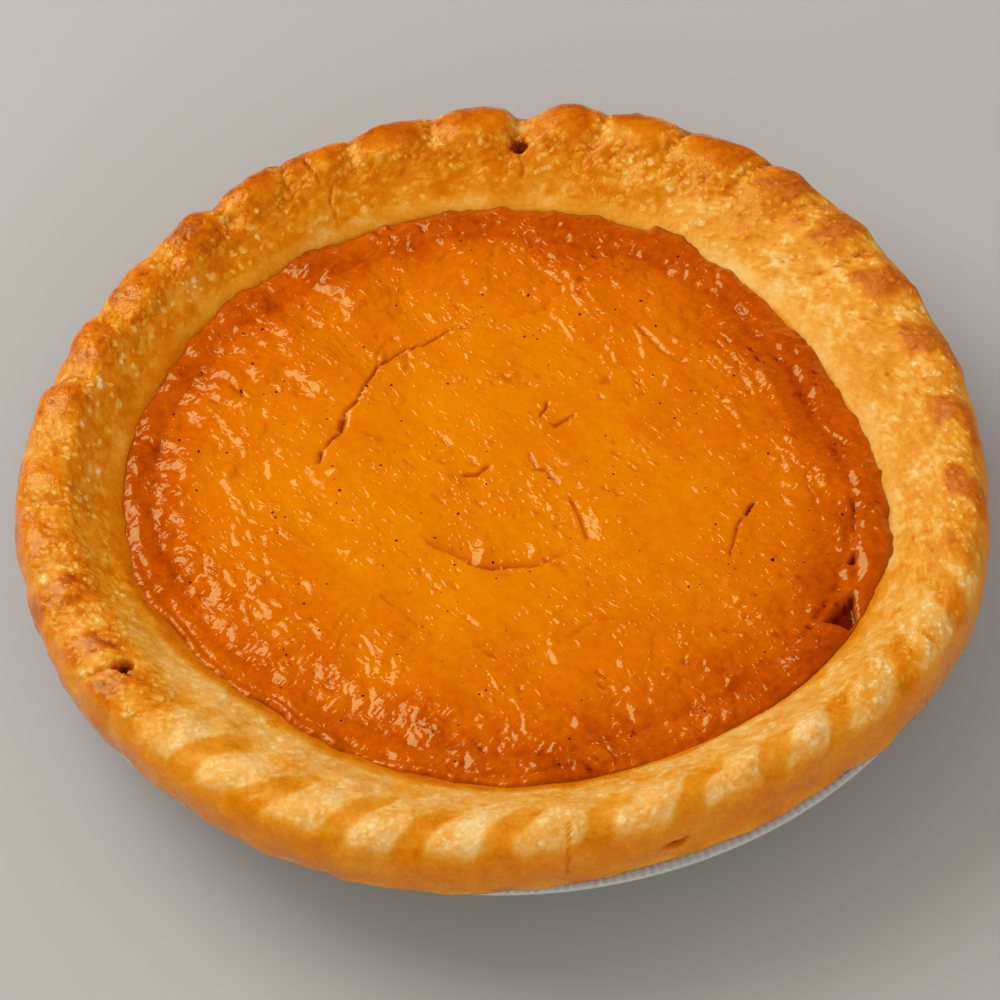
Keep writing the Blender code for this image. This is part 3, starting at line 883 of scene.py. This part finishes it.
# Mounds that catch the window, in millimetres: across, along, half width, half length, height
MOUNDS = (
    (-5.3, -18.4, 1.7, 3.4, 0.8), (-1.2, -16.0, 1.6, 1.6, 0.5), (6.7, -18.2, 1.3, 2.2, 0.6),
    (0.8, -1.0, 0.8, 1.6, 0.35), (-14.2, 11.7, 1.3, 0.9, 0.4), (2.2, 34.8, 1.0, 1.0, 0.4),
    (-21.3, 31.6, 1.1, 1.2, 0.5), (-24.9, 27.0, 0.8, 1.3, 0.4), (-29.3, 40.3, 0.8, 1.6, 0.5),
    (-40.2, 5.0, 2.2, 1.7, 0.6), (-36.0, -19.3, 1.6, 1.1, 0.5), (-61.2, 26.5, 2.6, 1.6, 0.7),
    (-57.0, 36.8, 3.0, 3.4, 0.9), (11.0, -21.5, 1.1, 1.0, 0.4), (-30.0, -4.5, 1.2, 0.9, 0.4),
)

# Ridges left by the spoon, in millimetres: half width, height, and the line
SPOON_RIDGES = (
    (1.5, 0.75, ((59.5, 37.5), (63.1, 30.8), (67.1, 19.9), (67.9, 14.2))),
    (1.0, 0.45, ((53.1, 26.9), (55.6, 21.1), (56.6, 16.8), (58.6, 13.1))),
    (0.9, 0.50, ((74.6, 4.3), (75.5, -1.4), (77.7, -5.7))),
    (1.0, 0.60, ((77.0, -9.9), (78.2, -14.1), (78.7, -19.7), (76.7, -24.6))),
    (1.6, 0.60, ((-35.2, 56.8), (-36.3, 52.4), (-33.5, 50.8), (-30.2, 48.6))),
    (1.2, 0.35, ((-62.2, 16.8), (-64.8, 10.4), (-65.8, 3.3), (-63.0, -1.7), (-61.9, -6.7))),
    (1.2, 0.70, ((77.6, -26.3), (80.6, -28.0))),
)


def near_line(across, along, line):
    """Distance to a bent line, which side a place is on (1 for its left), and the share
    of the line, from 0 to 1, at which it is nearest.

    A place is dropped squarely on to each straight run of the line, or on to the run's
    end if it lies past it, and the nearest run counts.
    """
    points = np.array(line) / 1000
    runs = np.diff(points, axis=0)
    sizes = np.hypot(*runs.T)
    before = np.concatenate([[0], np.cumsum(sizes)])
    nearest = np.full(across.shape, np.inf)
    side = np.zeros(across.shape)
    share = np.zeros(across.shape)
    for start, run, size, passed in zip(points, runs, sizes, before):
        right, ahead = across - start[0], along - start[1]
        t = np.clip((right * run[0] + ahead * run[1]) / size**2, 0, 1)
        away = np.hypot(right - t * run[0], ahead - t * run[1])
        closer = away < nearest
        nearest = np.where(closer, away, nearest)
        side = np.where(closer, np.sign(run[0] * ahead - run[1] * right), side)
        share = np.where(closer, (passed + t * size) / before[-1], share)
    return nearest, side, share


def tapered(share, quickness, power):
    """1 along a line and 0 at both its ends, rising from them as the share to a power."""
    return np.clip(np.minimum(share, 1 - share) * quickness, 0, 1) ** power


def from_middle(across, along, middle, half):
    """Distance from a middle, 1 on the ellipse with the given half width and length."""
    return np.hypot((across - middle[0]) / half[0], (along - middle[1]) / half[1])


def inside_of(across, along, corners):
    """How far a place is inside a shape with straight sides, its corners anticlockwise:
    the least of its distances to the left of each side."""
    points = np.array(corners) / 1000
    least = np.full(across.shape, np.inf)
    for start, run in zip(points, np.roll(points, -1, axis=0) - points):
        inwards = (run[0] * (along - start[1]) - run[1] * (across - start[0])) / np.hypot(*run)
        least = np.minimum(least, inwards)
    return least


def turned_lumps(across, along, length, width, seed):
    """Lumps that are drawn out along the spoon's strokes: the place is turned to them and
    divided by the length and the width."""
    ahead = across * math.cos(STROKE_TURN) + along * math.sin(STROKE_TURN)
    aside = -across * math.sin(STROKE_TURN) + along * math.cos(STROKE_TURN)
    places = np.stack([ahead / length, aside / width, 0 * ahead], axis=-1)
    return lumps(places + 70.5, 1.0, seed)


def blended(angle, rows):
    """A value that runs evenly round the pie from one azimuth's value to the next."""
    azimuths, values = zip(*rows)
    return np.interp(angle % math.tau, np.radians(azimuths), values, period=math.tau)


def filling_top(across, along):
    """Height of the skin over a place, then how baked it is there with painted shade added in cracks,
    gaps and the scoop behind the lip, how wrinkled it is, how far across the shown wall of a crack it
    lies, and how much painted shade that wall gets.

    By distance from the crust it drops, swells, dips between band and middle, and levels
    off. The middle sinks. Wrinkles and strokes are lumps, cracks and ridges follow lines.
    """
    angle = np.arctan2(along, across)
    distance = np.hypot(across, along)
    from_edge = filling_radius(angle) - distance
    flat = np.stack([across, along, 0 * across], axis=-1)
    wobble = 0.0009 * lumps(flat, 0.0060, 21)
    inside = (from_edge + 0.0016 * lumps(flat, 0.0110, 22)) / blended(angle, EDGE_BAND)
    level = np.interp(inside, *zip(*SKIN_PROFILE))
    film = FILM[3] * near_azimuth(angle, *FILM[:3]) * bell(inside, 0.12)
    height = FILLING_LEVEL + level + film

    deep = from_middle(across, along, DIP_CENTRE, DIP_HALF)
    to_front = np.clip((DIP_CENTRE[1] - along) / DIP_HALF[1], -1, 1)
    height -= DIP_DEPTH * np.exp(-(deep**4)) * (0.62 + 0.38 * to_front)

    wrinkled = 1 - rise(inside, 1.6, 3.4)
    wrinkled = np.maximum(wrinkled, 1.5 * (1 - rise(from_edge, 0.0003, 0.0016)))
    wrinkled_middle = near_azimuth(angle, *WRINKLED_MIDDLE) * rise(distance, 0.02, 0.06)
    wrinkled = np.maximum(wrinkled, 0.35 * wrinkled_middle)
    crinkle = np.abs(lumps(flat + wobble[..., None], 0.0042, 23)) * 1.6 - 0.5
    height += wrinkled * 0.00030 * crinkle
    height += wrinkled * 0.00010 * lumps(flat, 0.0016, 24)
    for size, length, width, seed in STROKES:
        height += size * turned_lumps(across, along, length, width, seed)
    height += 0.00045 * lumps(flat, 0.0190, 27)

    # Folded edges of the skin: steps where broad drawn-out hills pass a few levels
    hills = turned_lumps(across, along, 0.0300, 0.0110, 34) + 0.25 * lumps(flat, 0.0060, 35)
    folds = sum(rise(hills, edge, edge + 0.07) for edge in (-0.34, -0.02, 0.30))
    height += 0.00034 * folds * rise(distance, 0.030, 0.060)
    pits = 1 - rise(turned_lumps(across, along, 0.0030, 0.0012, 36), -0.78, -0.50)
    pits = pits * rise(lumps(flat, 0.0140, 37), -0.2, 0.4)
    height -= 0.00030 * pits

    lobe = from_middle(across, along, TORN_LOBE, TORN_LOBE_HALF)
    height += TORN_LOBE_HEIGHT * (1 - rise(lobe, 0.45, 1.05))

    # The two gaps are cut down inside their corners
    torn = np.zeros_like(across)
    for depth, corners in TORN_GAPS:
        deep_in = inside_of(across + 0.8 * wobble, along + wobble, corners)
        torn = np.maximum(torn, rise(deep_in, 0.0, 0.0008))
        height -= depth / 1000 * rise(deep_in, 0.0, 0.0011)

    # A crack is a groove that is steeper on its shown side, and the ground steps across it. Its groove
    # gets painted shade, and its shown wall a band of painted shade.
    bent_across, bent_along = across + 0.5 * wobble, along - 0.5 * wobble
    crack_shade, painted_wall_shade = np.zeros_like(across), np.zeros_like(across)
    wall_place, nearest = np.full(across.shape, 3.0), np.full(across.shape, np.inf)
    for half_width, depth, step, reach, line in SKIN_CRACKS:
        away, side, share = near_line(bent_across, bent_along, line)
        ends = tapered(share, 7, 0.7)
        run = np.subtract(line[-1], line[0])
        shown = side * np.sign(SHOWN_SIDE[1] * run[0] - SHOWN_SIDE[0] * run[1])
        steep = np.where(shown > 0, 1.0, 0.45)
        groove = bell(away, half_width / 1000 * steep) * ends
        height -= groove * depth / 1000
        height += side * step / 2000 * np.exp(-away * 1000 / reach) * ends
        crack_shade = np.maximum(crack_shade, groove * min(1.0, depth / 1.5))
        width = SHOWN_WIDTH * half_width / 1000 * np.maximum(ends, 0.08)
        closer = (away < nearest) & (depth > SHOWN_FROM_DEPTH)
        wall_place = np.where(closer, np.clip(shown * away / width, -3, 3), wall_place)
        painted_wall_shade = np.where(closer, rise(ends, 0.0, 0.5) * (away < SHOWN_REACH), painted_wall_shade)
        nearest = np.where(closer, away, nearest)
    away, side, share = near_line(across + wobble, along + 0.7 * wobble, DIP_LIP)
    inside_lip = (side > 0) * np.clip(np.minimum(share * 3.5, (1 - share) * 1.7), 0, 1) ** 0.8
    scoop = inside_lip * np.exp(-away / LIP_REACH) * rise(away, 0.0, 0.0004)
    height -= LIP_DEPTH * scoop
    closer = (away < nearest) & (share > 0.02) & (share < 0.98)
    wall_place = np.where(closer, np.clip(side * away / LIP_WALL_WIDTH, -3, 3), wall_place)
    # A band of painted shade on the wall behind the dip's lip
    painted_lip_shade = 0.55 * rise(np.minimum(share, 1 - share), 0.02, 0.30) * (away < LIP_WALL_REACH)
    painted_wall_shade = np.where(closer, painted_lip_shade, painted_wall_shade)
    for *place, size in MOUNDS:
        away = from_middle(across * 1000, along * 1000, place[:2], place[2:])
        height += size / 1000 * bell(away + 0.3 * lumps(flat, 0.0012, 39), 1.0)
    for half_width, size, line in SPOON_RIDGES:
        away, _, share = near_line(bent_across, bent_along, line)
        height += bell(away, half_width / 1000) * tapered(share, 5, 0.6) * size / 1000

    # How baked each place is, from 0 for orange to 1 for dark brown, with painted shade added in the
    # cracks, the scoop behind the lip and the torn gaps
    blurred = inside + 0.35 * lumps(flat, 0.0090, 28)
    bake_and_shade = 0.84 - 0.38 * rise(blurred, 0.45, blended(angle, BROWN_FADE))
    bake_and_shade -= 0.26 * rise(blurred, 1.5, 6.0)
    bake_and_shade += 0.06 * lumps(flat, 0.0120, 29) + 0.08 * turned_lumps(across, along, 0.0120, 0.0034, 30)
    bake_and_shade += 0.04 * turned_lumps(across, along, 0.0040, 0.0016, 38) + 0.04 * folds
    bake_and_shade += 0.10 * (1 - rise(np.abs(inside - 0.95), 0.0, 0.22)) + 0.30 * pits
    # Painted shade in the cracks and in the scoop behind the lip
    bake_and_shade += 0.30 * crack_shade + 0.42 * scoop
    bake_and_shade -= 0.07 * near_azimuth(angle, *PALE_BAND) * (1 - rise(inside, 0.9, 1.6))
    # The torn gaps take the darkest painted shade
    return height, 0.8 * np.maximum(bake_and_shade, 1.2 * torn), wrinkled, wall_place, painted_wall_shade


def filling_mesh():
    """The filling's top on a square grid folded on to a disc, its wall and its underside.

    A square ring of the grid at a share of the square's half side becomes the circle at
    that share of the radius, and the radius is the filling's own at each azimuth.
    """
    line = np.linspace(-1, 1, GRID + 1)
    right, ahead = np.meshgrid(line, line)
    reach = np.maximum(np.abs(right), np.abs(ahead))
    safe = np.maximum(reach, 1e-9)
    eighth = math.pi / 4
    sideways = np.abs(right) >= np.abs(ahead)
    angle = np.where(
        sideways,
        eighth * ahead / np.where(sideways, np.where(right == 0, safe, right), 1.0),
        math.pi / 2 - eighth * right / np.where(sideways, 1.0, np.where(ahead == 0, safe, ahead)),
    )
    angle = np.where(np.where(sideways, right < 0, ahead < 0), angle + math.pi, angle)
    radius = reach * filling_radius(angle)
    across, along = radius * np.cos(angle), radius * np.sin(angle)
    height, *finish = filling_top(across, along)
    top = np.stack([across, along, height], axis=-1).reshape(-1, 3)
    grid = np.arange((GRID + 1) ** 2).reshape(GRID + 1, GRID + 1)
    quads = np.stack([grid[:-1, :-1], grid[:-1, 1:], grid[1:, 1:], grid[1:, :-1]], axis=-1)
    rim = np.concatenate([grid[0, :-1], grid[:-1, -1], grid[-1, :0:-1], grid[:0:-1, 0]])

    floor = CRUST_FLOOR + BASE_PASTRY + FIT_GAP
    wall_lean = (FILLING_RADIUS - POCKET_BASE_RADIUS) / (FILLING_LEVEL - floor)
    turned = np.arctan2(top[rim, 1], top[rim, 0])
    above = top[rim, 2] - FILLING_LEVEL
    seat = filling_radius(turned) + np.where(above > 0, FILM_LEAN, wall_lean) * above + 0.00015
    top[rim, 0], top[rim, 1] = seat * np.cos(turned), seat * np.sin(turned)
    low_radius = POCKET_BASE_RADIUS - 0.0007
    foot = at_radius(low_radius, turned, floor)
    points = np.concatenate([top, foot, [(0.0, 0.0, floor)]])
    low = len(top) + np.arange(len(rim))
    wall = np.stack([low, np.roll(low, -1), np.roll(rim, -1), rim], axis=-1)
    base = np.stack([np.full(len(rim), len(points) - 1), np.roll(low, -1), low], axis=-1)
    mesh = smooth_mesh("filling_skin", points, quads.reshape(-1, 4), wall, base)
    for (name, hidden), values in zip(CUSTARD_FINISH.items(), finish):
        put_attribute(mesh, name, np.append(values.ravel(), np.full(len(rim) + 1, hidden)))
    return mesh


filling = add_object("filling_skin", filling_mesh())

CUSTARD_BROWNING = (
    (0.00, (0.77, 0.235, 0.0005, 1.0)),
    (0.20, (0.72, 0.188, 0.0003, 1.0)),
    (0.40, (0.66, 0.142, 0.0002, 1.0)),
    (0.60, (0.58, 0.098, 0.0002, 1.0)),
    (0.80, (0.44, 0.057, 0.0002, 1.0)),
    (0.97, (0.17, 0.006, 0.0002, 1.0)),
)


def drawn_out(tree, place, turn, shape):
    """The place turned and stretched, for a pattern that is drawn out one way."""
    inputs = {"Vector": place, "Rotation": (0.0, 0.0, turn), "Scale": shape}
    return add_node(tree, "ShaderNodeMapping", inputs, vector_type="TEXTURE").outputs["Vector"]


def custard_material():
    """Glossy baked custard, coloured by how baked it is and by painted shade in its hollows.

    The shown wall of each crack is darkened with painted shade and made dull, crisp at its near edge
    and fading at the other. Pimples of two sizes are drawn out along the spoon's strokes, thicker here
    and there, and fine wrinkles lie near the crust.
    """
    material, tree, shader = new_material(
        "set_custard", Roughness=0.055, Specular_IOR_Level=0.55, Specular_Tint=(0.68, 1.0, 0.36, 1.0)
    )
    place = add_node(tree, "ShaderNodeTexCoord").outputs["Object"]
    tint, grain = add_grain(tree, place, number=520.0)
    bake_and_shade, wrinkled, wall_place, painted_wall_shade = (read_attribute(tree, name) for name in CUSTARD_FINISH)
    # The shown wall of a crack: a band of painted shade, crisp at one edge
    crisp_edge = add_range(tree, wall_place, 0.0, 0.14)
    faded_edge = add_range(tree, wall_place, 0.35, 1.0, to_low=1.0, to_high=0.0)
    in_crack = add_math(tree, "MULTIPLY", crisp_edge, faded_edge)
    in_crack = add_math(tree, "MULTIPLY", in_crack, painted_wall_shade)
    tone = add_shares(tree, bake_and_shade, (tint, 0.10), (in_crack, 0.42))
    tree.links.new(add_shares(tree, 0.055, (in_crack, 0.16)), shader.inputs["Roughness"])
    tree.links.new(colour_ramp(tree, tone, CUSTARD_BROWNING), shader.inputs["Base Color"])
    drawn = drawn_out(tree, place, STROKE_TURN, PIMPLE_SHAPE)
    patches = add_noise(tree, place, scale=65.0, detail=1.0)
    thick = add_range(tree, patches, 0.38, 0.58, to_low=0.25, to_high=1.1)
    broad = add_beads(tree, drawn, number=430.0, share=0.52, softness=1.0, lean=PIMPLE_LEAN)
    small = add_beads(tree, drawn, number=900.0, share=0.42, softness=1.0, lean=PIMPLE_LEAN)
    height = add_math(tree, "MULTIPLY", add_shares(tree, broad, (small, 0.42)), thick)
    wrinkles = drawn_out(tree, place, WRINKLE_TURN, WRINKLE_GRAIN)
    wrinkles = add_noise(tree, wrinkles, scale=1.0, detail=1.0, roughness=0.4)
    wrinkled = add_math(tree, "MULTIPLY", wrinkled, 1.1)
    height = add_shares(tree, height, (grain, 0.14), (wrinkles, wrinkled))
    add_bump(tree, shader, height, strength=1.0, distance=0.00028)
    return material


filling.data.materials.append(custard_material())
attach(filling, "root")
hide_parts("filling")


# The spice specks. They are grains of ground nutmeg and cinnamon that rose to the skin:
# dark, uneven and under a millimetre, a few in clusters. Each is half sunk in the custard.
SEEN_SPECKS = (
    (-54.9, -7.2, 0.36), (-54.2, -9.0, 0.27), (-52.1, -8.6, 0.24), (-52.6, 33.5, 0.30),
    (-32.8, 31.0, 0.32), (-29.5, 7.0, 0.30), (-17.0, -14.6, 0.27), (18.4, 53.0, 0.30),
    (53.1, -26.3, 0.30), (61.9, -24.1, 0.46), (54.9, 33.0, 0.30), (36.5, 48.9, 0.27),
    (42.2, -31.8, 0.30), (68.0, -62.5, 0.30), (-74.0, -27.3, 0.36), (6.1, 60.1, 0.27),
    (23.8, 15.6, 0.27), (-13.5, 32.5, 0.24), (62.2, 8.6, 0.30), (37.0, 25.0, 0.30),
)
RANDOM_SPECKS = 300


def speck_mesh():
    """Many small bodies in one mesh: six points round a bent middle, a top and a bottom,
    each stretched and turned at random, standing in the skin at its own height."""
    draw = np.random.default_rng(31)
    seen = np.array(SEEN_SPECKS)
    turn = draw.uniform(0, math.tau, RANDOM_SPECKS)
    reach = np.sqrt(draw.uniform(0.0, 0.94, RANDOM_SPECKS)) * filling_radius(turn)
    across = np.append(seen[:, 0] / 1000, reach * np.cos(turn))
    along = np.append(seen[:, 1] / 1000, reach * np.sin(turn))
    size = np.append(seen[:, 2] / 750, (0.15 + 0.28 * draw.uniform(0, 1, RANDOM_SPECKS) ** 3) / 1000)
    height = filling_top(across, along)[0]
    count = len(size)
    corner = math.tau * np.arange(6) / 6
    ring = np.stack([np.cos(corner), np.sin(corner), 0.1 * np.cos(3 * corner)], axis=-1)
    shape = np.concatenate([ring, [(0.1, 0.0, 0.55), (0.0, 0.1, -0.7)]])
    shape = shape[None] * draw.uniform(0.65, 1.2, (count, 8, 1))
    shape[..., 0] *= draw.uniform(0.7, 1.6, (count, 1))
    spin = draw.uniform(0, math.tau, (count, 1))
    turned = shape.copy()
    turned[..., 0] = shape[..., 0] * np.cos(spin) - shape[..., 1] * np.sin(spin)
    turned[..., 1] = shape[..., 0] * np.sin(spin) + shape[..., 1] * np.cos(spin)
    middle = np.stack([across, along, height], axis=-1)
    points = (turned * size[:, None, None] + middle[:, None]).reshape(-1, 3)
    around = np.arange(6)
    after = (around + 1) % 6
    upper = np.stack([around, after, np.full(6, 6)], axis=-1)
    lower = np.stack([after, around, np.full(6, 7)], axis=-1)
    faces = np.concatenate([upper, lower])[None] + 8 * np.arange(count)[:, None, None]
    return smooth_mesh("spice_specks", points, faces.reshape(-1, 3))


def spice_material():
    """Dull ground spice, its colour varied by a noise."""
    material, tree, shader = new_material("ground_spice", Roughness=0.9, Specular_IOR_Level=0.0)
    place = add_node(tree, "ShaderNodeTexCoord").outputs["Object"]
    browns = ((0.35, (0.060, 0.0016, 0.0004, 1.0)), (0.65, (0.170, 0.0080, 0.0005, 1.0)))
    colour = colour_ramp(tree, add_noise(tree, place, scale=300.0), browns)
    tree.links.new(colour, shader.inputs["Base Color"])
    return material


specks = add_object("spice_specks", speck_mesh())
specks.data.materials.append(spice_material())
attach(specks, "root")


# The floor. It is a plain pale sheet, matt all over, that the tin stands on.
floor_mesh = bpy.data.meshes.new("floor")
floor_mesh.from_pydata([(-3, -3, 0), (3, -3, 0), (3, 3, 0), (-3, 3, 0)], [], [(0, 1, 2, 3)])
floor = add_object("floor", floor_mesh)
floor_finish = new_material(
    "pale_matt", Base_Color=(0.43, 0.410, 0.385, 1.0), Roughness=0.85, Specular_IOR_Level=0.2
)
floor.data.materials.append(floor_finish[0])


# The light: one large soft window light from behind at the left, a weak one from the front
# that makes no highlights, and a dim even fill. Each light has its azimuth and elevation in
# degrees, its distance and side in metres, its watts, and whether highlights show it.
LIGHTS = {
    "window": (152.0, 44.0, 1.15, 0.90, 10.8, True),
    "bounce": (285.0, 24.0, 1.6, 1.2, 8.0, False),
}
FILL_COLOUR = (1.0, 0.97, 0.93, 1.0)
FILL_BRIGHTNESS = 0.58

for name, (azimuth, elevation, distance, side, watts, in_highlights) in LIGHTS.items():
    azimuth, elevation = math.radians(azimuth), math.radians(elevation)
    flat = math.cos(elevation)
    way = Vector((flat * math.cos(azimuth), flat * math.sin(azimuth), math.sin(elevation)))
    lamp = bpy.data.lights.new(name, "AREA")
    lamp.shape = "SQUARE"
    lamp.size = side
    lamp.energy = watts
    light = add_object(name, lamp)
    light.location = way * distance
    light.rotation_euler = way.to_track_quat("Z", "Y").to_euler()
    light.visible_glossy = in_highlights

world = bpy.data.worlds.new("room")
world.use_nodes = True
background = world.node_tree.nodes["Background"]
background.inputs["Color"].default_value = FILL_COLOUR
background.inputs["Strength"].default_value = FILL_BRIGHTNESS
world.cycles_visibility.glossy = False
bpy.context.scene.world = world
bpy.context.scene.view_settings.view_transform = "Standard"


# The camera, 50 degrees above the floor and a long way off, so the pie fills the view. It
# looks at the level of the custard, and PIE_MIDDLE is how many pixels the pie's axis lies
# there to the right of the picture's middle and below it.
VIEW_ELEVATION = math.radians(50.0)
VIEW_DISTANCE = 1.617
VIEW_ROLL = math.radians(0.8)
SENSOR_WIDTH = 36.0
LENS_LENGTH = 246.7
PIXELS_A_METRE = 4238.0
IMAGE_MIDDLE = 500.0
PIE_MIDDLE = (506.1 - IMAGE_MIDDLE, 487.9 - IMAGE_MIDDLE)

view_up = Vector((0, math.sin(VIEW_ELEVATION), math.cos(VIEW_ELEVATION)))
view_back = Vector((0, -math.cos(VIEW_ELEVATION), math.sin(VIEW_ELEVATION)))
view_target = Vector((0, 0, FILLING_LEVEL)) - Vector((1, 0, 0)) * PIE_MIDDLE[0] / PIXELS_A_METRE
view_target += view_up * PIE_MIDDLE[1] / PIXELS_A_METRE
lens = bpy.data.cameras.new("camera")
lens.sensor_width = SENSOR_WIDTH
lens.lens = LENS_LENGTH
lens.clip_end = 20.0
camera = add_object("camera", lens)
camera.matrix_world = (
    Matrix.Translation(view_target + view_back * VIEW_DISTANCE)
    @ Matrix.Rotation(math.pi / 2 - VIEW_ELEVATION, 4, "X")
    @ Matrix.Rotation(-VIEW_ROLL, 4, "Z")
)
bpy.context.scene.camera = camera
